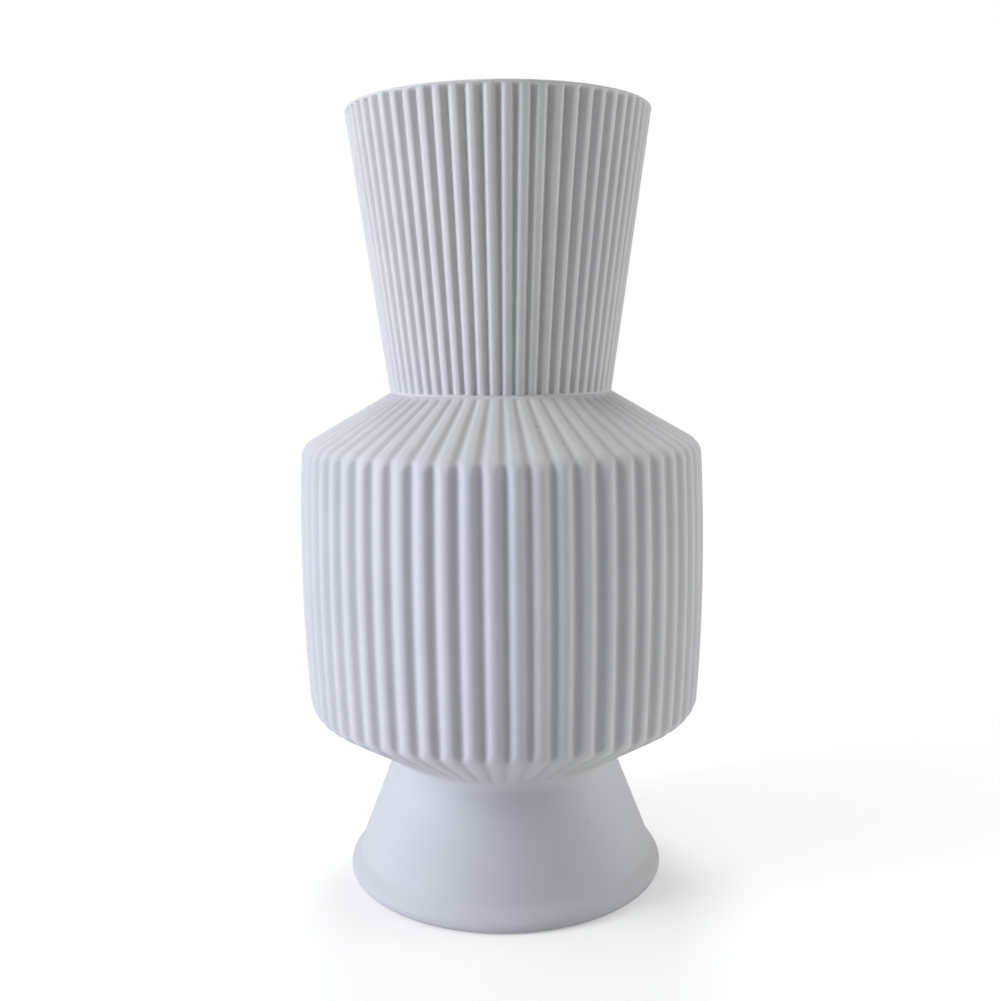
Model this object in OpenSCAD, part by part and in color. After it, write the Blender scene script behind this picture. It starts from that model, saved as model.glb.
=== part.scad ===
// Ribbed ceramic vase, built from its clay sections and the slip seams that lute them together.
// Millimetres. The origin is at the centre of the foot ring on the table, +Z is up.
// Ribs run from the lip to the waist in one pattern: a groove lies on every axis of the frame.

/* [Heights] */
// Height of the smooth foot, from the table to the waist
foot_h = 49.4; // [40:0.2:60]
// Rise of the belly's underside, from the waist to the belly's lower corner
under_h = 20.9; // [17:0.1:26]
// Height of the belly wall between its two corners
wall_h = 104.1; // [80:0.1:130]
// Rise of the shoulder, from the belly's upper corner to the crease under the neck
shoulder_h = 19.9; // [16:0.1:24]
// Height of the neck, from the crease to the top of the lip
neck_h = 105.7; // [80:0.1:130]

/* [Radii over the rib crests] */
// Radius of the lip
rim_r = 58; // [54:0.1:64]
// Radius of the crease under the neck
neck_r = 43.3; // [41:0.1:47]
// Radius of the belly's upper corner
shoulder_r = 77.9; // [72:0.1:84]
// Radius of the belly's lower corner
belly_r = 77.5; // [72:0.1:84]
// How far the belly wall swells outside a straight line between its corners
belly_swell = 1.8; // [0:0.1:4]
// Radius of the waist between belly and foot
waist_r = 44.1; // [42:0.1:48]
// Radius where the foot's straight cone begins to flare
flare_r = 59.2; // [57:0.1:61]
// Widest radius of the foot, just over the table
foot_r = 63.5; // [62:0.1:66]

/* [Rounding] */
// Radius of the round at the belly's upper corner
shoulder_round = 7.9; // [4:0.1:10]
// Radius of the round at the belly's lower corner
belly_round = 8.4; // [4:0.1:10]
// Height of the flare at the bottom of the foot
flare_h = 10.4; // [8:0.1:13]
// Height of the round at the foot's bottom edge
foot_edge_h = 2.8; // [2:0.1:4]
// Width of the round at the foot's bottom edge
foot_edge_w = 3; // [2:0.1:4]
// Radius of the round on the outside of the lip
lip_round = 0.7; // [0.6:0.1:2]
// Radius of the round on the inside of the lip
lip_inner_round = 2; // [1:0.1:3]

/* [Ribs] */
// Number of ribs around the vase
rib_count = 60; // [48:4:72]
// Depth of a groove on the belly's wall
rib_depth = 1.8; // [1:0.1:2.4]
// Depth of a groove at the shoulder's edge, shrinking with the radius up to the crease
shoulder_rib_depth = 1.2; // [0.6:0.1:2]
// Depth of a groove at the underside's edge, shrinking with the radius down to the waist
under_rib_depth = 0.8; // [0.4:0.1:2]
// Depth of a groove at the foot of the neck
neck_rib_depth = 0.9; // [0.6:0.1:1.6]
// Depth of a groove under the lip
lip_rib_depth = 1.8; // [1:0.1:2.4]
// Radius with which the grooves turn at the belly's two corners
groove_round = 2.5; // [1.5:0.1:7]
// Narrowness of the grooves on the belly's wall: 1 makes them as wide as the ribs, more narrower
wall_sharpness = 1.2; // [1:0.1:2]
// Narrowness of the grooves on the shoulder
shoulder_sharpness = 2.4; // [1:0.1:3]
// Narrowness of the grooves on the underside
under_sharpness = 2; // [1:0.1:3]
// Narrowness of the grooves on the neck
neck_sharpness = 1.2; // [1:0.1:2]
// Length over which a groove runs out at the lip
lip_fade = 1.2; // [1:0.1:5]
// Smooth width beside the crease on each side, along the surface
crease_band = 1.4; // [1.4:0.1:5]
// Length over which a neck groove runs out at the crease
neck_fade = 1.2; // [1:0.1:6]
// Length over which a shoulder groove runs out at the crease
shoulder_fade = 2.6; // [1:0.1:6]
// Smooth width above the waist, along the underside
waist_band = 4; // [3.6:0.1:6]
// Length over which a groove runs out at the waist
waist_fade = 8; // [2:0.1:12]

/* [Walls] */
// Thickness of the clay from the rib crests to the inside
wall_t = 6; // [5:0.1:7]
// Radius of the hollow's corners inside the belly
hollow_round = 12; // [8:0.5:14]
// Radius of the hollow's edges inside the crease and the waist
throat_round = 5; // [3:0.5:7]
// Thickness of the waterproof glaze inside
glaze_t = 0.4; // [0.2:0.1:0.6]
// Depth below the top of the lip at which the inner glaze stops
glaze_drop = 2.4; // [2:0.1:6]

/* [Base] */
// Width of the flat foot ring that the vase stands on, outside the base disc's slip
ring_w = 5.9; // [4:0.1:7]
// Thickness of the base disc
base_t = 6; // [4:0.1:7]
// Depth of the recess under the base, which leaves a foot ring to stand on
base_recess = 3; // [1:0.1:4]
// Width of the ledge in the foot that the base disc is pushed up against
base_ledge = 2; // [1:0.1:4]
// Radius of the rounded edge under the base disc
base_round = 1; // [0.5:0.1:1.5]

/* [Slip seams] */
// Thickness of the fired slip between two sections
slip_t = 0.6; // [0.4:0.1:0.8]
// Height of the tongue that locates one section in the next
tongue_h = 3; // [2:0.1:3.6]
// Width of clay left outside a tongue
tongue_cover = 3; // [2.4:0.1:3.4]
// Radius of the slip wiped into the crease under the neck
crease_round = 1.4; // [1.2:0.1:2]
// Radius of the slip wiped into the waist
waist_round = 3.6; // [2:0.1:4.2]

/* [Hidden] */
$fn = 96;

// Points along each rib and each round
rib_steps = 5;
corner_steps = 3;
swell_steps = 4;
lip_steps = 2;
hollow_steps = 6;
foot_steps = 8;

// Overrun of every cut and the depth by which a tongue roots in its section
overrun = 5;

// Heights of the driving points
waist_z = foot_h;
belly_z = waist_z + under_h;
shoulder_z = belly_z + wall_h;
crease_z = shoulder_z + shoulder_h;
rim_z = crease_z + neck_h;
base_z = base_recess + base_t;

// Radius of the base disc
base_r = foot_r - foot_edge_w - ring_w - slip_t;

// Driving points of the outline over the crests, as [radius, height]
rim_point = [rim_r, rim_z];
crease_point = [neck_r, crease_z];
shoulder_point = [shoulder_r, shoulder_z];
belly_point = [belly_r, belly_z];
waist_point = [waist_r, waist_z];
flare_point = [flare_r, flare_h];
foot_point = [foot_r, foot_edge_h];

clay = "#DADBE3";
slip = "#D2D3DC";
glaze = "#EFF1F4";

function unit(v) = v / norm(v);
function left_of(v) = [-v[1], v[0]];
function along(a, b, reach) = a + unit(b - a) * reach;
function at_height(a, b, z) = a + (b - a) * (z - a[1]) / (b[1] - a[1]);

// Crossing of the line through a and b with the line through c and d
function crossing(a, b, c, d) =
    let (u = b - a, v = d - c, w = c - a)
    a + u * (w[0] * v[1] - w[1] * v[0]) / (u[0] * v[1] - u[1] * v[0]);

// Arc of radius r that rounds the corner b of the path a, b, c
function corner(a, b, c, r, steps) =
    let (u = unit(a - b), v = unit(c - b), half = acos(u * v) / 2)
    let (reach = r / tan(half), centre = b + unit(u + v) * r / sin(half))
    let (first = b + u * reach, last = b + v * reach)
    [for (k = [0:steps]) centre + unit(first + (last - first) * k / steps - centre) * r];

// Points of a wall that swells outside the straight line from a to b
function swollen(a, b, swell, steps) =
    [for (k = [0:steps]) let (t = k / steps) a + (b - a) * t + [4 * swell * t * (1 - t), 0]];

// Smooth curve from a to b that leaves along ta and arrives along tb
function blend(a, ta, b, tb, steps) =
    [for (k = [0:steps]) let (t = k / steps)
        a * (1 + 2 * t) * pow(1 - t, 2) + ta * t * pow(1 - t, 2)
        + b * t * t * (3 - 2 * t) - tb * t * t * (1 - t)];

// Straight stretch of the outline from a to b, moved in by one depth at a and another at b
function sunk(a, b, a_depth, b_depth) =
    let (n = left_of(unit(b - a)))
    [a + n * a_depth, b + n * b_depth];

// Inner side of the wall, one straight stretch after the other
neck_inner = sunk(crease_point, rim_point, wall_t, wall_t);
shoulder_inner = sunk(shoulder_point, crease_point, wall_t, wall_t);
wall_inner = sunk(belly_point, shoulder_point, wall_t, wall_t);
under_inner = sunk(waist_point, belly_point, wall_t, wall_t);
foot_inner = sunk(flare_point, waist_point, wall_t, wall_t);

crease_hollow = crossing(neck_inner[0], neck_inner[1], shoulder_inner[0], shoulder_inner[1]);
shoulder_hollow = crossing(shoulder_inner[0], shoulder_inner[1], wall_inner[0], wall_inner[1]);
belly_hollow = crossing(wall_inner[0], wall_inner[1], under_inner[0], under_inner[1]);
waist_hollow = crossing(under_inner[0], under_inner[1], foot_inner[0], foot_inner[1]);
base_hollow = [base_r - base_ledge, base_z];
mouth_hollow = at_height(neck_inner[0], neck_inner[1], rim_z);

// Bottoms of the grooves, one straight stretch after the other
neck_groove = sunk(crease_point, rim_point, neck_rib_depth, lip_rib_depth);
crease_rib_depth = shoulder_rib_depth * neck_r / shoulder_r;
shoulder_groove = sunk(shoulder_point, crease_point, shoulder_rib_depth, crease_rib_depth);
wall_groove = sunk(belly_point, shoulder_point, rib_depth, rib_depth);
waist_rib_depth = under_rib_depth * waist_r / belly_r;
under_groove = sunk(waist_point, belly_point, waist_rib_depth, under_rib_depth);

// Where the groove bottoms turn, at the top and the foot of the belly's wall
high_turn = crossing(shoulder_groove[0], shoulder_groove[1], wall_groove[0], wall_groove[1]);
low_turn = crossing(wall_groove[0], wall_groove[1], under_groove[0], under_groove[1]);

// Outline of the hollow from the base to the mouth, each corner rounded; grow moves it inwards
function hollow_path(grow) =
    let (side = swollen(belly_hollow, shoulder_hollow, belly_swell, hollow_steps))
    let (path = concat(
        [base_hollow],
        corner(base_hollow, waist_hollow, belly_hollow, throat_round, hollow_steps),
        corner(waist_hollow, belly_hollow, side[1], hollow_round, hollow_steps),
        [for (k = [2:hollow_steps - 2]) side[k]],
        corner(side[hollow_steps - 1], shoulder_hollow, crease_hollow, hollow_round, hollow_steps),
        corner(shoulder_hollow, crease_hollow, mouth_hollow, throat_round, hollow_steps)))
    [for (k = [0:len(path) - 1])
        let (before = path[max(k - 1, 0)], after = path[min(k + 1, len(path) - 1)])
        path[k] + (k == 0 ? [-grow, grow] : left_of(unit(after - before)) * grow)];

// One ring of ribs: radius and height of its crests and of its groove bottoms, the same for a smooth
// ring. Across a rib the surface goes from one to the other as a power of the cosine.
function rib_ring(crest, groove, sharpness) =
    [for (i = [0:rib_count * rib_steps - 1])
        let (angle = 360 * i / (rib_count * rib_steps))
        let (p = crest + (groove - crest) * pow(abs(cos(rib_count * angle / 2)), 2 * sharpness))
        [p[0] * cos(angle), p[0] * sin(angle), p[1]]];

// Solid lofted through rings of ribs, along an outline over the crests and one down in the grooves,
// both of which run upwards and have a sharpness for each of their points
module ribbed(crests, grooves, sharpness) {
    around = rib_count * rib_steps;
    last = len(crests) - 1;
    rings = [for (k = [0:last]) rib_ring(crests[k], grooves[k], sharpness[k])];
    sides = [for (k = [0:last - 1], i = [0:around - 1])
        let (j = (i + 1) % around, low = k * around, high = low + around)
        each [[low + i, high + i, high + j], [low + i, high + j, low + j]]];
    bottom = [for (i = [0:around - 1]) i];
    top = [for (i = [0:around - 1]) last * around + around - 1 - i];
    polyhedron(points = [for (ring = rings) each ring], faces = concat(sides, [bottom, top]));
}

// Everything that the vase can hold, from its base to past its mouth
module hollow() {
    path = hollow_path(0);
    arch = corner(path[len(path) - 1], mouth_hollow, mouth_hollow + [wall_t, 0], lip_inner_round, lip_steps);
    rotate_extrude()
        polygon(concat(
            [[0, base_z]],
            path,
            arch,
            [[rim_r, rim_z], [rim_r, rim_z + overrun], [0, rim_z + overrun]]));
}

// Full disc between two heights, used for tongues and their sockets
module disc(r, low, high) {
    translate([0, 0, low])
        cylinder(r = r, h = high - low);
}

// Radius and foot of the tongue under a section that ends at height z with radius r
function tongue_r(r) = r - tongue_cover;
function tongue_z(z) = z + slip_t / 2 - tongue_h;

// Tongue on the underside of a section
module tongue(r, z) {
    disc(tongue_r(r), tongue_z(z), z + slip_t / 2 + slip_t);
}

// Socket for that tongue, a slip's thickness wider and deeper
module socket(r, z) {
    disc(tongue_r(r) + slip_t, tongue_z(z) - slip_t, z + overrun);
}

// Slip between a tongue and its socket, wiped to a fillet of the given radius outside
module seam(low, point, high, round) {
    r = tongue_r(point[0]);
    top = point[1] + slip_t / 2;
    bottom = point[1] - slip_t / 2;
    difference() {
        rotate_extrude()
            polygon(concat(
                [[0, tongue_z(point[1]) - slip_t],
                 [r + slip_t, tongue_z(point[1]) - slip_t],
                 [r + slip_t, bottom],
                 at_height(low, point, bottom)],
                corner(low, point, high, round, hollow_steps),
                [at_height(point, high, top),
                 [r, top],
                 [r, tongue_z(point[1])],
                 [0, tongue_z(point[1])]]));
        hollow();
    }
}

// Flared neck: a straight ribbed cone with a smooth rounded lip, tongued into the shoulder
module neck() {
    lip_arc = corner(crease_point, rim_point, rim_point - [wall_t, 0], lip_round, lip_steps);
    low = crease_band + neck_fade;
    high = norm(rim_point - lip_arc[0]) + lip_fade;
    smooth = [at_height(crease_point, rim_point, crease_z + slip_t / 2),
              along(crease_point, rim_point, crease_band)];
    crests = concat(
        smooth,
        [along(crease_point, rim_point, low), along(rim_point, crease_point, high)],
        lip_arc);
    grooves = concat(
        smooth,
        [along(neck_groove[0], neck_groove[1], low), along(neck_groove[1], neck_groove[0], high)],
        lip_arc);
    color(clay)
        difference() {
            union() {
                ribbed(crests, grooves, [for (p = crests) neck_sharpness]);
                tongue(neck_r, crease_z);
            }
            hollow();
        }
}

// Slip seam that lutes the neck to the shoulder
module neck_seam() {
    color(slip)
        seam(shoulder_point, crease_point, rim_point, crease_round);
}

// Outline of the belly where it is ribbed, through its waist, lower corner, upper corner and crease
function belly_outline(waist, low, high, crease, low_round, high_round) =
    let (side = swollen(low, high, belly_swell, swell_steps))
    concat(
        [along(waist, low, waist_band + waist_fade)],
        corner(waist, low, side[1], low_round, corner_steps),
        [for (k = [1:swell_steps - 1]) side[k]],
        corner(side[swell_steps - 1], high, crease, high_round, corner_steps),
        [along(crease, high, crease_band + shoulder_fade)]);

// Even steps from one sharpness to another round a corner of the belly
function sharpened(first, last) = [for (k = [0:corner_steps]) first + (last - first) * k / corner_steps];

// Ribbed belly: sloping underside, round, swollen wall, round, and sloping shoulder
module belly() {
    waist_end = [at_height(waist_point, belly_point, waist_z + slip_t / 2),
                 along(waist_point, belly_point, waist_band)];
    crease_end = [along(crease_point, shoulder_point, crease_band),
                  at_height(crease_point, shoulder_point, crease_z - slip_t / 2)];
    crests = belly_outline(
        waist_point, belly_point, shoulder_point, crease_point, belly_round, shoulder_round);
    grooves = belly_outline(
        under_groove[0], low_turn, high_turn, shoulder_groove[1], groove_round, groove_round);
    sharpness = concat(
        [for (p = waist_end) under_sharpness],
        [under_sharpness],
        sharpened(under_sharpness, wall_sharpness),
        [for (k = [1:swell_steps - 1]) wall_sharpness],
        sharpened(wall_sharpness, shoulder_sharpness),
        [shoulder_sharpness],
        [for (p = crease_end) shoulder_sharpness]);
    color(clay)
        difference() {
            union() {
                ribbed(
                    concat(waist_end, crests, crease_end),
                    concat(waist_end, grooves, crease_end),
                    sharpness);
                tongue(waist_r, waist_z);
            }
            hollow();
            socket(neck_r, crease_z);
        }
}

// Slip seam that lutes the belly to the foot
module waist_seam() {
    color(slip)
        seam(flare_point, waist_point, belly_point, waist_round);
}

// Smooth hollow foot: a rounded bottom edge, a flare, and a straight cone up to the waist
module foot() {
    rise = unit(waist_point - flare_point) * norm(flare_point - foot_point);
    flare = blend(foot_point, [0, norm(rise)], flare_point, rise, foot_steps);
    edge = [for (k = [0:foot_steps]) let (a = 90 * k / foot_steps)
        foot_point + [foot_edge_w * (sin(a) - 1), -foot_edge_h * cos(a)]];
    color(clay)
        difference() {
            rotate_extrude()
                polygon(concat(
                    [[0, 0]],
                    edge,
                    [for (k = [1:foot_steps]) flare[k]],
                    [at_height(flare_point, waist_point, waist_z - slip_t / 2), [0, waist_z - slip_t / 2]]));
            hollow();
            socket(waist_r, waist_z);
            disc(base_r + slip_t, -overrun, base_z + slip_t);
        }
}

// Slip seam round the edge of the base disc and over its rim
module base_seam() {
    color(slip)
        difference() {
            rotate_extrude()
                polygon([
                    [0, base_z],
                    [base_r, base_z],
                    [base_r, base_recess],
                    [base_r + slip_t, base_recess],
                    [base_r + slip_t, base_z + slip_t],
                    [0, base_z + slip_t]]);
            hollow();
        }
}

// Base disc, set up inside the foot so that the vase stands on the foot ring
module base() {
    low_edge = corner([0, base_recess], [base_r, base_recess], [base_r, base_z], base_round, lip_steps);
    color(clay)
        rotate_extrude()
            polygon(concat([[0, base_recess]], low_edge, [[base_r, base_z], [0, base_z]]));
}

// Thin waterproof glaze over the whole inside, up to just under the lip
module inner_glaze() {
    outside = hollow_path(0);
    inside = hollow_path(glaze_t);
    top = rim_z - glaze_drop;
    inner_top = at_height(inside[len(inside) - 1], mouth_hollow - [glaze_t, 0], top);
    color(glaze)
        rotate_extrude()
            polygon(concat(
                [[0, base_z]],
                outside,
                [at_height(neck_inner[0], neck_inner[1], top), inner_top],
                [for (k = [len(inside) - 1:-1:0]) inside[k]],
                [[0, base_z + glaze_t]]));
}

neck();
neck_seam();
belly();
waist_seam();
foot();
base_seam();
base();
inner_glaze();
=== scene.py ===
"""Ribbed ceramic vase: its finished surfaces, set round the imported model, with a studio and camera.

Outlines are worked out in millimetres as points (radius, height) and become metres when a mesh is
made. Every section of the vase is one closed outline turned about the vase's axis. A ribbed
section has a second outline down in its grooves, and its surface lies between the two.
"""
import math

import bpy
import numpy as np
from mathutils import Matrix, Vector


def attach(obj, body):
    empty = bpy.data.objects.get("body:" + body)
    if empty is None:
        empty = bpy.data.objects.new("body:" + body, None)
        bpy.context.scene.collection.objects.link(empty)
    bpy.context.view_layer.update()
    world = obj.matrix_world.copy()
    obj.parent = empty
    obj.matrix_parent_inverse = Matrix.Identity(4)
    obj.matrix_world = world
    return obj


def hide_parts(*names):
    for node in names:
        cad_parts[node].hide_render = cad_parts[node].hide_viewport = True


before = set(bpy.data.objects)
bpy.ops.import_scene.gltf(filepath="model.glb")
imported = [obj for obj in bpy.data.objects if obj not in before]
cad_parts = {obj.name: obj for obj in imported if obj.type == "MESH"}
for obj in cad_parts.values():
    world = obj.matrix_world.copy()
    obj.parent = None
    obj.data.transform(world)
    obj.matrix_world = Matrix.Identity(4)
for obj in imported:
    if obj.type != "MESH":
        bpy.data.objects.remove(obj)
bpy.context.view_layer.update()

MM = 0.001

# Driving sizes, in millimetres, radii taken over the rib crests
FOOT_H, UNDER_H, WALL_H, SHOULDER_H, NECK_H = 49.4, 20.9, 104.1, 19.9, 105.7
RIM_R, NECK_R, SHOULDER_R, BELLY_R, WAIST_R = 58.0, 43.3, 77.9, 77.5, 44.1
FLARE_R, FLARE_H = 59.2, 10.4
FOOT_R, FOOT_EDGE_H, FOOT_EDGE_W = 63.5, 2.8, 3.0
BELLY_SWELL = 1.69
SHOULDER_ROUND, BELLY_ROUND = 7.9, 8.4
LIP_ROUND, LIP_INNER_ROUND = 0.7, 2.0
WALL_T, HOLLOW_ROUND, THROAT_ROUND = 6.0, 12.0, 5.0
GLAZE_T, GLAZE_DROP = 0.4, 2.4
BASE_T, BASE_RECESS, BASE_LEDGE, BASE_ROUND, RING_W = 6.0, 3.0, 2.0, 1.0, 5.9
SLIP_T, TONGUE_H, TONGUE_COVER = 0.6, 3.0, 3.0
CREASE_ROUND, WAIST_ROUND = 0.5, 3.6

# Ribs: how many, how deep their grooves are, and how round a groove's bottom goes over a corner
RIB_COUNT = 60
RIB_DEPTH, SHOULDER_RIB_DEPTH, UNDER_RIB_DEPTH = 1.9, 1.2, 0.8
NECK_RIB_DEPTH, LIP_RIB_DEPTH = 1.2, 2.1
GROOVE_ROUND = 2.5
# How narrow the grooves are. It changes at the belly's corners, from a height a little out on the
# slope to one a little in on the wall.
UNDER_SHARPNESS, WALL_SHARPNESS, SHOULDER_SHARPNESS, NECK_SHARPNESS = 2.0, 1.5, 2.4, 2.2
OUT_ON_SLOPE, IN_ON_WALL = 2, 4
# Where the grooves run out, along the outline: a smooth band, and then a fade
LIP_END, CREASE_END = (0.1, 1.1), (0.0, 0.5)
SHOULDER_END, WAIST_END = (0.4, 1.8), (5.0, 7.0)
# Hand of the maker: how far a groove stands off its even place, what share of its depth it may
# lack, how late it may start, and how far the neck is turned on the belly, in radians
OFF_PLACE, SHALLOWER, LATE = 0.16, 0.07, 0.3
HAND_SEED = 7
NECK_TURN = -0.010

# How finely things are drawn: round the vase, along each stretch and over each round
SAMPLES_PER_RIB, SMOOTH_SAMPLES = 12, 360
WALL_STEPS, UNDER_STEPS, SHOULDER_STEPS, NECK_STEPS, RUN_OUT_STEPS = 16, 8, 10, 15, 14
FLARE_STEPS, CONE_STEPS, SOLE_STEPS, LEDGE_STEPS, RECESS_STEPS, JOINT_STEPS = 14, 14, 2, 2, 3, 2
DISC_STEPS, DISC_TOP_STEPS, GLAZED_BASE_STEPS = 8, 6, 6
HOLLOW_STEPS, FOOT_HOLLOW_STEPS, NECK_HOLLOW_STEPS = 8, 6, 8
CORNER_STEPS, LIP_STEPS, WIPE_STEPS = 12, 6, 10
FOOT_EDGE_STEPS, RING_STEPS, BASE_EDGE_STEPS = 10, 4, 5
# Shares of the underside, the shoulder and the neck, from their ends, in which the points lie
# closer together, because the grooves run out there
UNDER_FINE, SHOULDER_FINE, NECK_FINE = 0.45, 0.2, 0.04
# Edges that turn more than this, in degrees, are shaded as edges
EDGE_ANGLE = 38
# Points of an outline that lie closer than this are one
TOUCHING = 1e-6

WAIST_Z = FOOT_H
BELLY_Z = WAIST_Z + UNDER_H
SHOULDER_Z = BELLY_Z + WALL_H
CREASE_Z = SHOULDER_Z + SHOULDER_H
RIM_Z = CREASE_Z + NECK_H
BASE_Z = BASE_RECESS + BASE_T
BASE_R = FOOT_R - FOOT_EDGE_W - RING_W - SLIP_T


def point(radius, height):
    return np.array((radius, height), float)


RIM = point(RIM_R, RIM_Z)
CREASE = point(NECK_R, CREASE_Z)
SHOULDER = point(SHOULDER_R, SHOULDER_Z)
BELLY = point(BELLY_R, BELLY_Z)
WAIST = point(WAIST_R, WAIST_Z)
FLARE = point(FLARE_R, FLARE_H)
FOOT = point(FOOT_R, FOOT_EDGE_H)


# Outline tools

def unit(v):
    return v / np.linalg.norm(v, axis=-1, keepdims=True)


def left_of(v):
    return np.stack((-v[..., 1], v[..., 0]), -1)


def at_height(a, b, z):
    """Where the line through a and b passes the height z."""
    return a + (b - a) * (z - a[1]) / (b[1] - a[1])


def crossing(a, b, c, d):
    """Where the line through a and b meets the line through c and d."""
    u, v, w = b - a, d - c, c - a
    return a + u * (w[0] * v[1] - w[1] * v[0]) / (u[0] * v[1] - u[1] * v[0])


def straight(a, b, steps):
    """Evenly spaced points from a to b."""
    t = np.linspace(0, 1, steps + 1)[:, None]
    return a + (b - a) * t


def corner(a, b, c, r, steps):
    """Arc of radius r that rounds the corner b of the path a, b, c: its centre lies on the corner's
    bisector, and the directions from there to its two ends are turned evenly into each other."""
    u, v = unit(a - b), unit(c - b)
    half = math.acos(float(np.clip(u @ v, -1, 1))) / 2
    centre = b + unit(u + v) * r / math.sin(half)
    first, last = (b + w * r / math.tan(half) - centre for w in (u, v))
    sweep = math.pi - 2 * half
    t = np.linspace(0, 1, steps + 1)[:, None]
    return centre + (np.sin((1 - t) * sweep) * first + np.sin(t * sweep) * last) / math.sin(sweep)


def swollen(a, b, swell, steps):
    """Wall from a to b that stands outside the straight line by 4 swell t (1 - t)."""
    t = np.linspace(0, 1, steps + 1)
    return straight(a, b, steps) + np.stack((4 * swell * t * (1 - t), 0 * t), -1)


def blend(a, ta, b, tb, steps):
    """Cubic from a to b that leaves along ta and arrives along tb."""
    t = np.linspace(0, 1, steps + 1)[:, None]
    s = 1 - t
    return a * (1 + 2 * t) * s**2 + ta * t * s**2 + b * t**2 * (3 - 2 * t) - tb * t**2 * s


def trace(*parts):
    """The parts joined end to end, each point kept once."""
    path = np.concatenate([np.atleast_2d(p) for p in parts])
    apart = np.linalg.norm(np.diff(path, axis=0), axis=1) > TOUCHING
    return path[np.concatenate(([True], apart))]


def between(path, low, high):
    """The stretch of a rising path from one height to another, ends included."""
    inside = path[(path[:, 1] > low) & (path[:, 1] < high)]
    ends = [point(np.interp(z, path[:, 1], path[:, 0]), z) for z in (low, high)]
    return trace(ends[0], inside, ends[1])


def sunk(a, b, a_depth, b_depth):
    """The straight stretch from a to b, moved in by one depth at a and another at b."""
    n = left_of(unit(b - a))
    return a + n * a_depth, b + n * b_depth


# Bottoms of the belly's grooves, stretch by stretch, and where they turn at its two corners
SHOULDER_GROOVE = sunk(SHOULDER, CREASE, SHOULDER_RIB_DEPTH,
                       SHOULDER_RIB_DEPTH * NECK_R / SHOULDER_R)
WALL_GROOVE = sunk(BELLY, SHOULDER, RIB_DEPTH, RIB_DEPTH)
UNDER_GROOVE = sunk(WAIST, BELLY, UNDER_RIB_DEPTH * WAIST_R / BELLY_R, UNDER_RIB_DEPTH)
HIGH_TURN = crossing(*SHOULDER_GROOVE, *WALL_GROOVE)
LOW_TURN = crossing(*WALL_GROOVE, *UNDER_GROOVE)

# The hollow inside: each stretch moved in by the wall, and the corners where these meet
NECK_IN = sunk(CREASE, RIM, WALL_T, WALL_T)
SHOULDER_IN = sunk(SHOULDER, CREASE, WALL_T, WALL_T)
WALL_IN = sunk(BELLY, SHOULDER, WALL_T, WALL_T)
UNDER_IN = sunk(WAIST, BELLY, WALL_T, WALL_T)
FOOT_IN = sunk(FLARE, WAIST, WALL_T, WALL_T)
CREASE_HOLLOW = crossing(*NECK_IN, *SHOULDER_IN)
SHOULDER_HOLLOW = crossing(*SHOULDER_IN, *WALL_IN)
BELLY_HOLLOW = crossing(*WALL_IN, *UNDER_IN)
WAIST_HOLLOW = crossing(*UNDER_IN, *FOOT_IN)
BASE_HOLLOW = point(BASE_R - BASE_LEDGE, BASE_Z)
MOUTH_HOLLOW = at_height(*NECK_IN, RIM_Z)


def hollow_path(grow=0.0):
    """Outline of the hollow from the base to the mouth, each corner rounded, and moved in by grow
    from the walls and up from the base."""
    side = swollen(BELLY_HOLLOW, SHOULDER_HOLLOW, BELLY_SWELL, HOLLOW_STEPS)
    path = trace(
        straight(BASE_HOLLOW, WAIST_HOLLOW, FOOT_HOLLOW_STEPS)[:-1],
        corner(BASE_HOLLOW, WAIST_HOLLOW, BELLY_HOLLOW, THROAT_ROUND, HOLLOW_STEPS),
        corner(WAIST_HOLLOW, BELLY_HOLLOW, side[1], HOLLOW_ROUND, HOLLOW_STEPS),
        side[2:-2],
        corner(side[-2], SHOULDER_HOLLOW, CREASE_HOLLOW, HOLLOW_ROUND, HOLLOW_STEPS),
        corner(SHOULDER_HOLLOW, CREASE_HOLLOW, MOUTH_HOLLOW, THROAT_ROUND, HOLLOW_STEPS),
        straight(CREASE_HOLLOW, MOUTH_HOLLOW, NECK_HOLLOW_STEPS)[1:-1],
    )
    moved = path + left_of(unit(np.gradient(path, axis=0))) * grow
    moved[0] = path[0] + (-grow, grow)
    return moved


HOLLOW = hollow_path()


def hollow_r(z):
    return np.interp(z, HOLLOW[:, 1], HOLLOW[:, 0])


# Turning an outline into a mesh

def new_piece(name, vertices, faces, material, slot, node, groove=None):
    """A smooth mesh in metres that rides on the vase and stands for its CAD node. Its slot is not
    used.
    Its attribute "groove" says how deep in a groove each point lies, which sets the painted shade
    there."""
    mesh = bpy.data.meshes.new(name)
    mesh.from_pydata((vertices * MM).tolist(), [], faces)
    mesh.update()
    mesh.shade_smooth()
    mesh.set_sharp_from_angle(angle=math.radians(EDGE_ANGLE))
    depth = mesh.attributes.new("groove", "FLOAT", "POINT")
    depth.data.foreach_set("value", np.zeros(len(vertices)) if groove is None else groove)
    mesh.materials.append(material)
    piece = bpy.data.objects.new(name, mesh)
    bpy.context.collection.objects.link(piece)
    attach(piece, "root")
    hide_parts(node)
    return piece


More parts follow.
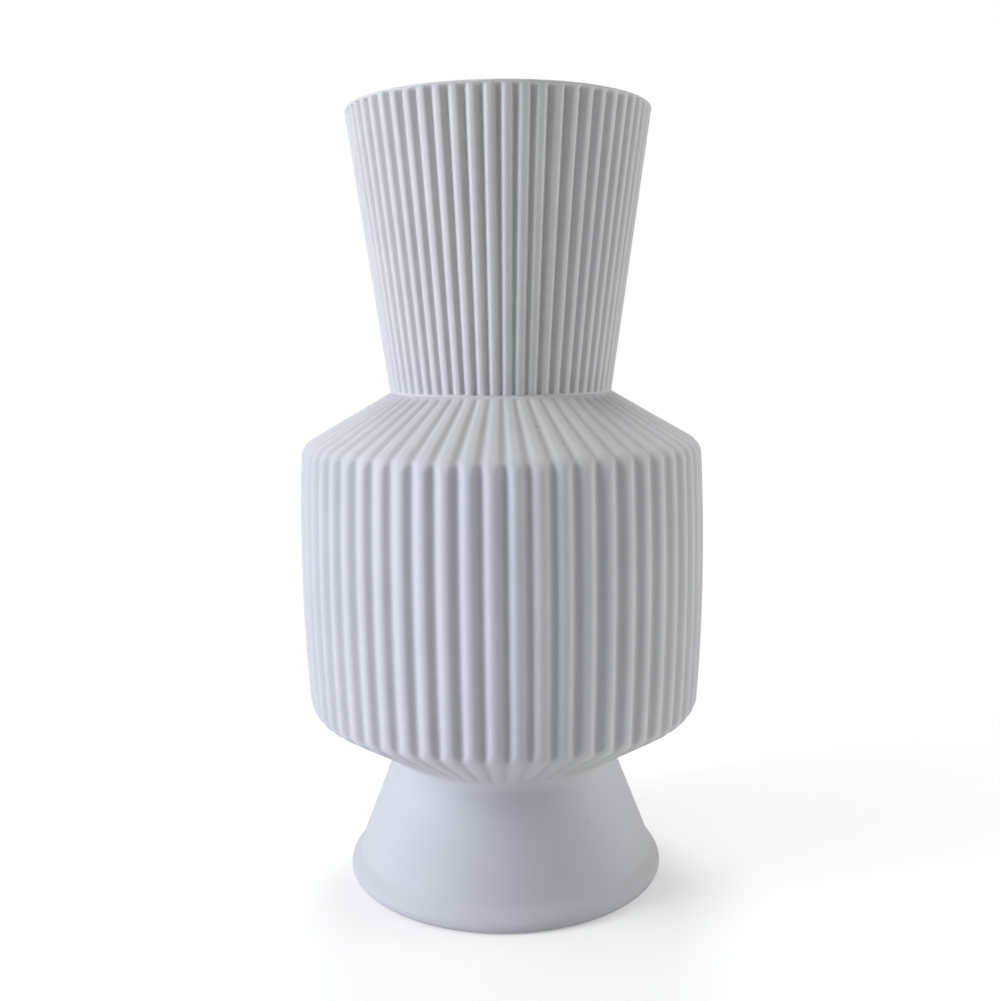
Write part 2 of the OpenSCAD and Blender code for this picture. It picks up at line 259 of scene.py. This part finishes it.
def turned(path, angle, groove=None, share=0.0):
    """Vertices and faces of a closed outline turned about Z, one ring of points to each outline
    point: (r cos a, r sin a, z). With a groove outline, each point lies between the two outlines
    by its share. An outline that starts and ends on the axis closes there in two poles."""
    around = len(angle)
    capped = path[0, 0] < TOUCHING
    body = path[1:-1] if capped else path
    drop = np.zeros_like(body) if groove is None else groove - body
    radius = body[:, :1] + drop[:, :1] * share + np.zeros(around)
    height = body[:, 1:] + drop[:, 1:] * share + np.zeros(around)
    rings = np.stack((radius * np.cos(angle), radius * np.sin(angle), height), -1)
    index = np.arange(len(body) * around).reshape(len(body), around)
    low = index[:-1] if capped else index
    high = index[1:] if capped else np.roll(index, -1, 0)
    quads = np.stack((low, np.roll(low, -1, 1), np.roll(high, -1, 1), high), -1)
    faces = quads.reshape(-1, 4).tolist()
    vertices = rings.reshape(-1, 3)
    if capped:
        first, last = len(vertices), len(vertices) + 1
        poles = ((0, 0, path[0, 1]), (0, 0, path[-1, 1]))
        vertices = np.concatenate((vertices, poles))
        faces += np.stack((np.full(around, first), np.roll(index[0], -1), index[0]), -1).tolist()
        faces += np.stack((np.full(around, last), index[-1], np.roll(index[-1], -1)), -1).tolist()
    return vertices, faces


# The ribs. EVEN counts the grooves round the vase, and each groove's own values hold for half a rib
# to each side of it. The maker's hand moves each groove a little off its even place.

EVEN = np.arange(RIB_COUNT * SAMPLES_PER_RIB) / SAMPLES_PER_RIB
OWN_GROOVE = np.round(EVEN).astype(int) % RIB_COUNT
HAND = np.random.default_rng(HAND_SEED)
HAND_PLACE = HAND.uniform(-1, 1, RIB_COUNT)
HAND_DEPTH = HAND.uniform(0, 1, RIB_COUNT)
HAND_START = HAND.uniform(0, 1, (2, RIB_COUNT))
ONCE_ROUND = np.arange(RIB_COUNT + 1), np.append(HAND_PLACE, HAND_PLACE[0])
MOVED = np.interp(EVEN, *ONCE_ROUND) * OFF_PLACE / SHOULDER_R
RIB_ANGLES = EVEN * 2 * np.pi / RIB_COUNT + MOVED
SMOOTH_ANGLES = np.arange(SMOOTH_SAMPLES) * 2 * np.pi / SMOOTH_SAMPLES


def run_out(distance, late, fade):
    """How deep a round-nosed groove is at a distance from its end: 0 outside, then the quarter of
    a circle up to full depth. The end bows back at the groove's sides and may start late."""
    side = 2 * (EVEN - np.round(EVEN))
    bow = fade * (1 - np.sqrt(1 - side**2)) + late
    t = np.clip((distance[:, None] - bow[None]) / fade, 0, 1)
    return np.sqrt(t * (2 - t))


def groove_shares(crests, sharpness, low_end, high_end):
    """How far down into a groove each point of a ribbed stretch lies, 0 on the crests and 1 at the
    bottom: a power of the cosine across a rib, a higher one where the grooves are narrower, times
    the run-outs at both ends, with some grooves a little shallower."""
    wave = np.abs(np.cos(np.pi * EVEN)) ** (2 * sharpness[:, None])
    length = np.concatenate(([0], np.cumsum(np.linalg.norm(np.diff(crests, axis=0), axis=1))))
    late = LATE * HAND_START[:, OWN_GROOVE]
    (low_band, low_fade), (high_band, high_fade) = low_end, high_end
    ends = (run_out(length - low_band, late[0], low_fade)
            * run_out(length[-1] - length - high_band, late[1], high_fade))
    return wave * ends * (1 - SHALLOWER * HAND_DEPTH[OWN_GROOVE])


def ribbed_piece(name, node, crests, grooves, share, rest, turn=0.0):
    """A closed outline that starts with a ribbed stretch, given by its crests and its groove
    bottoms, and goes on with a smooth rest. It may stand turned a little on the piece below."""
    path = np.concatenate((crests, rest))
    bottom = np.concatenate((grooves, rest))
    every = np.concatenate((share, np.zeros((len(rest), len(EVEN)))))
    vertices, faces = turned(path, RIB_ANGLES + turn, bottom, every)
    return new_piece(name, vertices, faces, MATT_WHITE, "matt_white", node, every.reshape(-1))


# Joints between the sections: a tongue on the upper one, in a socket of the lower one, with slip
# all round between them. A joint is named by the outline's point where it comes out.

def tongue_r(joint):
    return joint[0] - TONGUE_COVER


def tongue_z(joint):
    return joint[1] + SLIP_T / 2 - TONGUE_H


def tongue_path(joint, start):
    """Underside of a section: from the hollow, round the tongue, out to the section's outside."""
    edge, low, high = tongue_r(joint), tongue_z(joint), joint[1] + SLIP_T / 2
    return trace(straight(point(hollow_r(low), low), point(edge, low), JOINT_STEPS),
                 straight(point(edge, low), point(edge, high), JOINT_STEPS),
                 straight(point(edge, high), start, JOINT_STEPS)[:-1])


def socket_path(joint, start):
    """Top of a section: from its outside, down into the tongue's socket, and in to the hollow."""
    edge, low, high = tongue_r(joint) + SLIP_T, tongue_z(joint) - SLIP_T, start[1]
    return trace(straight(start, point(edge, high), JOINT_STEPS),
                 straight(point(edge, high), point(edge, low), JOINT_STEPS),
                 straight(point(edge, low), point(hollow_r(low), low), JOINT_STEPS))


# Finishes

FLOAT, VECTOR, COLOUR = "NodeSocketFloat", "NodeSocketVector", "NodeSocketColor"
# The stretch that nearly all of a noise's values lie in
NOISE_RANGE = 0.3, 0.7
# Grain: how much broader the broad noise is drawn, and the shares of the fine and the broad one
BROAD_SCALE, FINE_SHARE, BROAD_SHARE = 0.16, 0.45, 0.55
TONE_SCALE = 22.0
# Shares of the painted groove shade and of the drifting tone in how deep the clay's colour is
GROOVE_SHADE_SHARE, TONE_SHARE = 0.6, 0.4
ROUGHNESS_SPREAD, GLOSS_ROUGHNESS = 0.05, 0.06
# Share of a spot's radius inside which it is at its full strength
SPOT_CORE = 0.4
# Heights in mm between which painted warm light turns the clay warmer, and the tint of that painted
# light above them
WARM_LIGHT_HEIGHTS, WARM_LIGHT_TINT = (SHOULDER_Z, CREASE_Z + 20), (1.03, 1.02, 0.98)


def group(name, inputs, outputs):
    """A shader node group, with the names and kinds of its inputs and outputs."""
    tree = bpy.data.node_groups.new(name, "ShaderNodeTree")
    for way, sockets in (("INPUT", inputs), ("OUTPUT", outputs)):
        for label, kind in sockets.items():
            tree.interface.new_socket(label, in_out=way, socket_type=kind)
    given, out = tree.nodes.new("NodeGroupInput"), tree.nodes.new("NodeGroupOutput")
    return tree, given.outputs, out.inputs


def feed(tree, value, inlet):
    """Links an output to an inlet, or sets the inlet to a plain value."""
    if isinstance(value, bpy.types.NodeSocket):
        tree.links.new(value, inlet)
    else:
        inlet.default_value = value


def place_group(tree, placed, **values):
    """A group placed in a material with its own values. Gives the group's outputs."""
    node = tree.nodes.new("ShaderNodeGroup")
    node.node_tree = placed
    for label, value in values.items():
        feed(tree, value, node.inputs[label])
    return node.outputs


def math_node(tree, operation, a, b):
    node = tree.nodes.new("ShaderNodeMath")
    node.operation = operation
    feed(tree, a, node.inputs[0])
    feed(tree, b, node.inputs[1])
    return node.outputs[0]


def noise_node(tree, vector, scale, detail, roughness):
    node = tree.nodes.new("ShaderNodeTexNoise")
    values = {"Vector": vector, "Scale": scale, "Detail": detail, "Roughness": roughness}
    for label, value in values.items():
        feed(tree, value, node.inputs[label])
    return node.outputs["Fac"]


def span_node(tree, value, low, high, to_low=0.0, to_high=1.0):
    """Soft step of a value from low to high, onto the span from to_low to to_high."""
    node = tree.nodes.new("ShaderNodeMapRange")
    node.interpolation_type = "SMOOTHSTEP"
    ends = {"From Min": low, "From Max": high, "To Min": to_low, "To Max": to_high}
    for label, number in {"Value": value, **ends}.items():
        feed(tree, number, node.inputs[label])
    return node.outputs["Result"]


def mix_colour(tree, share, first, second, how="MIX"):
    node = tree.nodes.new("ShaderNodeMix")
    node.data_type = "RGBA"
    node.blend_type = how
    for label, value in (("Factor", share), ("A", first), ("B", second)):
        feed(tree, value, node.inputs[label])
    return node.outputs["Result"]


def clay_grain_group():
    """Dry grain of fired clay: fine and broad noise as one height, and as a second value the slow
    drift in tone that firing leaves."""
    tree, given, out = group("clay_grain", {"Vector": VECTOR, "Grain": FLOAT},
                             {"Height": FLOAT, "Tone": FLOAT})
    place, grain = given["Vector"], given["Grain"]
    fine = noise_node(tree, place, grain, detail=3.0, roughness=0.6)
    broad = noise_node(tree, place, math_node(tree, "MULTIPLY", grain, BROAD_SCALE),
                       detail=2.0, roughness=0.5)
    height = math_node(tree, "ADD", math_node(tree, "MULTIPLY", fine, FINE_SHARE),
                       math_node(tree, "MULTIPLY", broad, BROAD_SHARE))
    feed(tree, height, out["Height"])
    slow = noise_node(tree, place, TONE_SCALE, detail=3.0, roughness=0.55)
    feed(tree, span_node(tree, slow, *NOISE_RANGE), out["Tone"])
    return tree


def painted_warm_light_group():
    """Colour that turns to a tint between two heights: painted warm light that falls near the top."""
    tree, given, out = group("painted_warm_light", {"Vector": VECTOR, "Color": COLOUR, "Tint": COLOUR,
                                            "Low": FLOAT, "High": FLOAT}, {"Color": COLOUR})
    split = tree.nodes.new("ShaderNodeSeparateXYZ")
    feed(tree, given["Vector"], split.inputs[0])
    rise = span_node(tree, split.outputs["Z"], given["Low"], given["High"])
    feed(tree, mix_colour(tree, rise, given["Color"], given["Tint"], "MULTIPLY"), out["Color"])
    return tree


def spot_group():
    """One small round spot with a soft edge: 1 at its place and 0 from its radius outwards."""
    tree, given, out = group("clay_spot", {"Vector": VECTOR, "Place": VECTOR, "Radius": FLOAT},
                             {"Mask": FLOAT})
    gap = tree.nodes.new("ShaderNodeVectorMath")
    gap.operation = "DISTANCE"
    feed(tree, given["Vector"], gap.inputs[0])
    feed(tree, given["Place"], gap.inputs[1])
    share = math_node(tree, "DIVIDE", gap.outputs["Value"], given["Radius"])
    feed(tree, span_node(tree, share, SPOT_CORE, 1.0, 1.0, 0.0), out["Mask"])
    return tree


GRAIN = clay_grain_group()
PAINTED_WARM_LIGHT = painted_warm_light_group()
SPOT = spot_group()


def clay(name, pale, deep, roughness, grain, grain_height, gloss=0.0, spots=()):
    """Fired clay: pale on the crests and darker in the grooves by painted shade, drifting in tone,
    warmer near the top by painted warm light, and grained. The grain's height is in mm. Each spot is
    its colour, strength, place and radius, the last two in mm."""
    material = bpy.data.materials.new(name)
    material.use_nodes = True
    tree = material.node_tree
    shader = tree.nodes["Principled BSDF"].inputs
    place = tree.nodes.new("ShaderNodeTexCoord").outputs["Object"]
    grained = place_group(tree, GRAIN, Vector=place, Grain=grain)
    # Painted shade: the grooves are darkened towards the deep colour, by how deep in a groove each
    # point lies
    groove = tree.nodes.new("ShaderNodeAttribute")
    groove.attribute_name = "groove"
    shade = math_node(tree, "ADD", math_node(tree, "MULTIPLY", groove.outputs["Fac"], GROOVE_SHADE_SHARE),
                      math_node(tree, "MULTIPLY", grained["Tone"], TONE_SHARE))
    shaded = mix_colour(tree, shade, (*pale, 1), (*deep, 1))
    # Painted warm light: the colour turns warmer towards the top
    low, high = (z * MM for z in WARM_LIGHT_HEIGHTS)
    drifting = place_group(tree, PAINTED_WARM_LIGHT, Vector=place, Color=shaded, Tint=(*WARM_LIGHT_TINT, 1),
                           Low=low, High=high)
    colour = drifting["Color"]
    for tint, strength, centre, radius in spots:
        spot = place_group(tree, SPOT, Vector=place, Place=[c * MM for c in centre],
                           Radius=radius * MM)
        mask = math_node(tree, "MULTIPLY", spot["Mask"], strength)
        colour = mix_colour(tree, mask, colour, (*tint, 1))
    feed(tree, colour, shader["Base Color"])
    rough = span_node(tree, grained["Height"], *NOISE_RANGE,
                      roughness - ROUGHNESS_SPREAD, roughness + ROUGHNESS_SPREAD)
    feed(tree, rough, shader["Roughness"])
    bump = tree.nodes.new("ShaderNodeBump")
    bump.inputs["Strength"].default_value = 1.0
    bump.inputs["Distance"].default_value = grain_height * MM
    feed(tree, grained["Height"], bump.inputs["Height"])
    feed(tree, bump.outputs["Normal"], shader["Normal"])
    shader["Coat Weight"].default_value = gloss
    shader["Coat Roughness"].default_value = GLOSS_ROUGHNESS
    return material


# Marks in the clay, each as colour, strength, place and radius: an iron speck on the shoulder and
# a pale smudge on the foot, where the photograph shows them
MARKS = (
    ((0.25, 0.22, 0.2), 0.5, (11.5, -57.5, 184.6), 0.8),
    ((0.55, 0.54, 0.53), 0.3, (30.5, -40.2, 33.0), 2.2),
)
# On the ribbed pieces, the deep colour in the grooves is painted shade
MATT_WHITE = clay("matt_white_clay", pale=(0.72, 0.72, 0.73), deep=(0.63, 0.63, 0.645),
                  roughness=0.62, grain=1800.0, grain_height=0.04, spots=MARKS)
SLIP_WHITE = clay("fired_slip", pale=(0.73, 0.73, 0.74), deep=(0.69, 0.69, 0.70),
                  roughness=0.6, grain=1500.0, grain_height=0.03)
BARE_CLAY = clay("bare_clay", pale=(0.68, 0.66, 0.62), deep=(0.62, 0.59, 0.54),
                 roughness=0.8, grain=1300.0, grain_height=0.07)
CLEAR_GLAZE = clay("clear_glaze", pale=(0.72, 0.73, 0.74), deep=(0.69, 0.70, 0.72),
                   roughness=0.36, grain=160.0, grain_height=0.03, gloss=0.8)


# The pieces

def make_neck():
    """Ribbed cone from the crease to the lip, the rounded lip, the inner wall and the tongue."""
    start = at_height(CREASE, RIM, CREASE_Z + SLIP_T / 2)
    lip = corner(CREASE, RIM, RIM - (WALL_T, 0), LIP_ROUND, LIP_STEPS)
    lip_in = corner(RIM, MOUTH_HOLLOW, CREASE_HOLLOW, LIP_INNER_ROUND, LIP_STEPS)
    stops = (0, NECK_FINE, 1 - NECK_FINE, 1)
    climb = trace(*(np.linspace(a, b, NECK_STEPS + 1)[:, None] for a, b in zip(stops, stops[1:])))
    crests = start + (lip[0] - start) * climb
    groove_start, groove_stop = sunk(start, lip[0], NECK_RIB_DEPTH, LIP_RIB_DEPTH)
    grooves = groove_start + (groove_stop - groove_start) * climb
    sharpness = np.full(len(crests), NECK_SHARPNESS)
    share = groove_shares(crests, sharpness, CREASE_END, LIP_END)
    inner = between(HOLLOW, tongue_z(CREASE), lip_in[-1, 1])[::-1]
    rest = trace(lip[1:], lip_in, inner, tongue_path(CREASE, start))
    return ribbed_piece("ribbed_neck", "neck", crests, grooves, share, rest, NECK_TURN)


def belly_outline(start, low, high, end, low_round, high_round):
    """Outline of the belly from its waist through both corners to its crease, always with as many
    points: closer together near both ends, where the grooves run out."""
    side = swollen(low, high, BELLY_SWELL, WALL_STEPS)
    low_arc = corner(start, low, side[1], low_round, CORNER_STEPS)
    high_arc = corner(side[-2], high, end, high_round, CORNER_STEPS)
    fade_low = start + (low_arc[0] - start) * UNDER_FINE
    fade_high = end + (high_arc[-1] - end) * SHOULDER_FINE
    return np.concatenate((
        straight(start, fade_low, RUN_OUT_STEPS)[:-1],
        straight(fade_low, low_arc[0], UNDER_STEPS)[:-1],
        low_arc, side[2:-2], high_arc,
        straight(high_arc[-1], fade_high, SHOULDER_STEPS)[1:],
        straight(fade_high, end, RUN_OUT_STEPS)[1:],
    ))


def make_belly():
    """Ribbed underside, swollen wall and shoulder, socket, inner wall and tongue."""
    start = at_height(WAIST, BELLY, WAIST_Z + SLIP_T / 2)
    end = at_height(CREASE, SHOULDER, CREASE_Z - SLIP_T / 2)
    groove_start, groove_stop = UNDER_GROOVE[0] + start - WAIST, SHOULDER_GROOVE[1] + end - CREASE
    crests = belly_outline(start, BELLY, SHOULDER, end, BELLY_ROUND, SHOULDER_ROUND)
    grooves = belly_outline(groove_start, LOW_TURN, HIGH_TURN, groove_stop,
                            GROOVE_ROUND, GROOVE_ROUND)
    heights = (BELLY_Z - OUT_ON_SLOPE, BELLY_Z + IN_ON_WALL,
               SHOULDER_Z - IN_ON_WALL, SHOULDER_Z + OUT_ON_SLOPE)
    sharpness = np.interp(crests[:, 1], heights, (UNDER_SHARPNESS, WALL_SHARPNESS,
                                                  WALL_SHARPNESS, SHOULDER_SHARPNESS))
    share = groove_shares(crests, sharpness, WAIST_END, SHOULDER_END)
    inner = between(HOLLOW, tongue_z(WAIST), tongue_z(CREASE) - SLIP_T)[::-1]
    rest = trace(socket_path(CREASE, end), inner, tongue_path(WAIST, start))[1:]
    return ribbed_piece("ribbed_belly", "belly", crests, grooves, share, rest)


def make_foot():
    """Smooth foot: rounded ring, quarter of an ellipse round its edge, flare, straight cone up to
    the waist, socket, and the hollow inside."""
    seat = BASE_R + SLIP_T
    ring = corner(point(seat, BASE_RECESS), point(seat, 0), point(FOOT_R, 0), BASE_ROUND,
                  RING_STEPS)
    turn = np.linspace(np.pi / 2, 0, FOOT_EDGE_STEPS + 1)
    edge = FOOT + np.stack((FOOT_EDGE_W * (np.cos(turn) - 1), -FOOT_EDGE_H * np.sin(turn)), -1)
    rise = unit(WAIST - FLARE) * np.linalg.norm(FLARE - FOOT)
    flare = blend(FOOT, point(0, np.linalg.norm(rise)), FLARE, rise, FLARE_STEPS)
    top = at_height(FLARE, WAIST, WAIST_Z - SLIP_T / 2)
    inner = between(HOLLOW, BASE_Z + SLIP_T, tongue_z(WAIST) - SLIP_T)[::-1]
    sole = straight(ring[-1], edge[0], SOLE_STEPS)
    cone = straight(FLARE, top, CONE_STEPS)
    ledge = straight(inner[-1], point(seat, BASE_Z + SLIP_T), LEDGE_STEPS)
    recess = straight(point(seat, BASE_Z), ring[0], RECESS_STEPS)
    path = trace(ring, sole, edge, flare[1:], cone, socket_path(WAIST, top), inner, ledge, recess)
    return new_piece("smooth_foot", *turned(path[:-1], SMOOTH_ANGLES),
                     MATT_WHITE, "matt_white", "foot")


def make_seam(name, node, low, joint, high, wiped):
    """Fired slip between a tongue and its socket, wiped to a hollow round on the outside."""
    edge, bottom, top = tongue_r(joint), joint[1] - SLIP_T / 2, joint[1] + SLIP_T / 2
    floor, under = tongue_z(joint) - SLIP_T, tongue_z(joint)
    path = trace(point(hollow_r(floor), floor), point(edge + SLIP_T, floor),
                 point(edge + SLIP_T, bottom), at_height(low, joint, bottom),
                 corner(low, joint, high, wiped, WIPE_STEPS), at_height(joint, high, top),
                 point(edge, top), point(edge, under), point(hollow_r(under), under))
    return new_piece(name, *turned(path, SMOOTH_ANGLES), SLIP_WHITE, "slip_white", node)


def make_base_seam():
    """Fired slip round the base disc and over its rim."""
    edge, top = BASE_R + SLIP_T, BASE_Z + SLIP_T
    path = trace(point(BASE_R, BASE_RECESS), point(edge, BASE_RECESS), point(edge, top),
                 point(hollow_r(top), top), point(hollow_r(BASE_Z), BASE_Z),
                 point(BASE_R, BASE_Z))
    return new_piece("slip_round_base", *turned(path, SMOOTH_ANGLES),
                     SLIP_WHITE, "slip_white", "base_seam")


def make_base():
    """Base disc with a rounded lower edge, closed at its middle."""
    low, edge, top = point(0, BASE_RECESS), point(BASE_R, BASE_RECESS), point(BASE_R, BASE_Z)
    path = trace(straight(low, edge - (2 * BASE_ROUND, 0), DISC_STEPS),
                 corner(low, edge, top, BASE_ROUND, BASE_EDGE_STEPS),
                 top, straight(top, point(0, BASE_Z), DISC_TOP_STEPS)[1:])
    return new_piece("base_disc", *turned(path, SMOOTH_ANGLES), BARE_CLAY, "bare_clay", "base")


def make_glaze():
    """Glaze over the base and up the inside to just under the lip, closed at the base's middle."""
    top = RIM_Z - GLAZE_DROP
    outside = between(HOLLOW, BASE_Z, top)
    inside = between(hollow_path(GLAZE_T), BASE_Z + GLAZE_T, top - GLAZE_T)
    path = trace(straight(point(0, BASE_Z), outside[0], GLAZED_BASE_STEPS), outside, inside[::-1],
                 straight(inside[0], point(0, BASE_Z + GLAZE_T), GLAZED_BASE_STEPS)[1:])
    return new_piece("inner_glaze_coat", *turned(path, SMOOTH_ANGLES),
                     CLEAR_GLAZE, "clear_glaze", "inner_glaze")


make_neck()
make_belly()
make_foot()
make_seam("slip_under_neck", "neck_seam", SHOULDER, CREASE, RIM, CREASE_ROUND)
make_seam("slip_at_waist", "waist_seam", FLARE, WAIST, BELLY, WAIST_ROUND)
make_base_seam()
make_base()
make_glaze()


# Studio, in metres

PLAIN_WHITE = (1, 1, 1, 1)
FLOOR_HALF, FLOOR_COLOUR, FLOOR_ROUGHNESS = 6.0, (0.8, 0.8, 0.8, 1), 0.9
FLOOR_GLOW = 0.36
# Distances from the vase's axis between which the floor turns to plain white
FLOOR_WHITENS = 0.10, 0.34
LAMP_SIZE, LAMP_AWAY = 0.7, 1.7
# Each lamp: name, azimuth and elevation in degrees, and its red, green and blue in watts
LAMPS = (
    ("window_low", -72, 4, (9.6, 10.6, 12.9)),
    ("window_high", -72, 30, (11.2, 11.7, 12.6)),
    ("window_top", -75, 58, (3.2, 3.1, 2.7)),
    ("fill", -28, 4, (0.3, 0.4, 0.9)),
    ("wall_low", 92, 4, (7.3, 7.6, 8.1)),
    ("wall_high", 70, 30, (4.6, 4.6, 5.1)),
    ("ceiling_right", 75, 58, (2.0, 1.9, 1.6)),
    ("ceiling_back", 180, 58, (12.6, 12.5, 12.1)),
    ("ceiling", 0, 88, (5.2, 5.1, 5.1)),
)
# Camera, fitted to the outline of the vase in the photograph: places in mm, turns in radians
CAMERA_AWAY, CAMERA_UP = 449.2, 215.4
CAMERA_TURN, CAMERA_PITCH, CAMERA_ROLL, CAMERA_YAW = -0.013, 0.1429, -0.0107, 0.0017
FOCAL_PIXELS, LONG_SIDE_PIXELS, SENSOR = 1136.7, 1001, 36.0
CAMERA_NEAR = 0.01


def make_floor():
    """A pale floor that takes the vase's shadow. What the camera sees of it is lifted by a glow,
    and turns to plain white away from the vase, so that it has no horizon. The glow lights
    nothing."""
    mesh, half = bpy.data.meshes.new("floor"), FLOOR_HALF
    corners = [(-half, -half, 0), (half, -half, 0), (half, half, 0), (-half, half, 0)]
    mesh.from_pydata(corners, [], [(0, 1, 2, 3)])
    floor = bpy.data.objects.new("floor", mesh)
    bpy.context.collection.objects.link(floor)
    material = bpy.data.materials.new("pale_floor")
    material.use_nodes = True
    tree = material.node_tree
    matt = tree.nodes["Principled BSDF"]
    matt.inputs["Base Color"].default_value = FLOOR_COLOUR
    matt.inputs["Roughness"].default_value = FLOOR_ROUGHNESS
    seen = tree.nodes.new("ShaderNodeLightPath").outputs["Is Camera Ray"]
    glow, white = tree.nodes.new("ShaderNodeEmission"), tree.nodes.new("ShaderNodeEmission")
    feed(tree, math_node(tree, "MULTIPLY", seen, FLOOR_GLOW), glow.inputs["Strength"])
    lifted, far = tree.nodes.new("ShaderNodeAddShader"), tree.nodes.new("ShaderNodeMixShader")
    feed(tree, matt.outputs[0], lifted.inputs[0])
    feed(tree, glow.outputs[0], lifted.inputs[1])
    reach = tree.nodes.new("ShaderNodeVectorMath")
    reach.operation = "LENGTH"
    feed(tree, tree.nodes.new("ShaderNodeTexCoord").outputs["Object"], reach.inputs[0])
    away = span_node(tree, reach.outputs["Value"], *FLOOR_WHITENS)
    feed(tree, math_node(tree, "MULTIPLY", away, seen), far.inputs["Fac"])
    feed(tree, lifted.outputs[0], far.inputs[1])
    feed(tree, white.outputs[0], far.inputs[2])
    feed(tree, far.outputs[0], tree.nodes["Material Output"].inputs["Surface"])
    mesh.materials.append(material)


def make_world():
    """A world that gives no light, and is plain white where the camera sees it."""
    world = bpy.data.worlds.new("studio")
    bpy.context.scene.world = world
    world.use_nodes = True
    tree = world.node_tree
    dark, white = tree.nodes["Background"], tree.nodes.new("ShaderNodeBackground")
    for light, strength in ((dark, 0.0), (white, 1.0)):
        light.inputs["Color"].default_value = PLAIN_WHITE
        light.inputs["Strength"].default_value = strength
    path = tree.nodes.new("ShaderNodeLightPath")
    mix = tree.nodes.new("ShaderNodeMixShader")
    feed(tree, path.outputs["Is Camera Ray"], mix.inputs["Fac"])
    feed(tree, dark.outputs[0], mix.inputs[1])
    feed(tree, white.outputs[0], mix.inputs[2])
    feed(tree, mix.outputs[0], tree.nodes["World Output"].inputs["Surface"])


def softbox(name, azimuth, elevation, watts):
    """A square lamp that faces the middle of the vase from an azimuth (0 in front, 90 to the right)
    and an elevation, in degrees."""
    turn, lift = math.radians(azimuth), math.radians(elevation)
    middle = Vector((0, 0, RIM_Z / 2 * MM))
    away = Vector((math.sin(turn) * math.cos(lift), -math.cos(turn) * math.cos(lift),
                   math.sin(lift)))
    lamp = bpy.data.lights.new(name, "AREA")
    lamp.shape = "SQUARE"
    lamp.size = LAMP_SIZE
    lamp.energy = max(watts)
    lamp.color = [w / max(watts) for w in watts]
    holder = bpy.data.objects.new(name, lamp)
    bpy.context.collection.objects.link(holder)
    holder.location = middle + away * LAMP_AWAY
    holder.rotation_euler = away.to_track_quat("Z", "Y").to_euler()


def make_camera():
    """The photograph's camera: turned about the vase, set back and up, then aimed."""
    data = bpy.data.cameras.new("camera")
    data.sensor_width = SENSOR
    data.lens = FOCAL_PIXELS * SENSOR / LONG_SIDE_PIXELS
    data.clip_start = CAMERA_NEAR
    camera = bpy.data.objects.new("camera", data)
    bpy.context.collection.objects.link(camera)
    camera.matrix_world = (Matrix.Rotation(CAMERA_TURN, 4, "Z")
                           @ Matrix.Translation((0, -CAMERA_AWAY * MM, CAMERA_UP * MM))
                           @ Matrix.Rotation(CAMERA_YAW, 4, "Z")
                           @ Matrix.Rotation(math.pi / 2 - CAMERA_PITCH, 4, "X")
                           @ Matrix.Rotation(CAMERA_ROLL, 4, "Z"))
    bpy.context.scene.camera = camera


make_floor()
make_world()
for lamp in LAMPS:
    softbox(*lamp)
make_camera()
bpy.context.scene.view_settings.view_transform = "Standard"
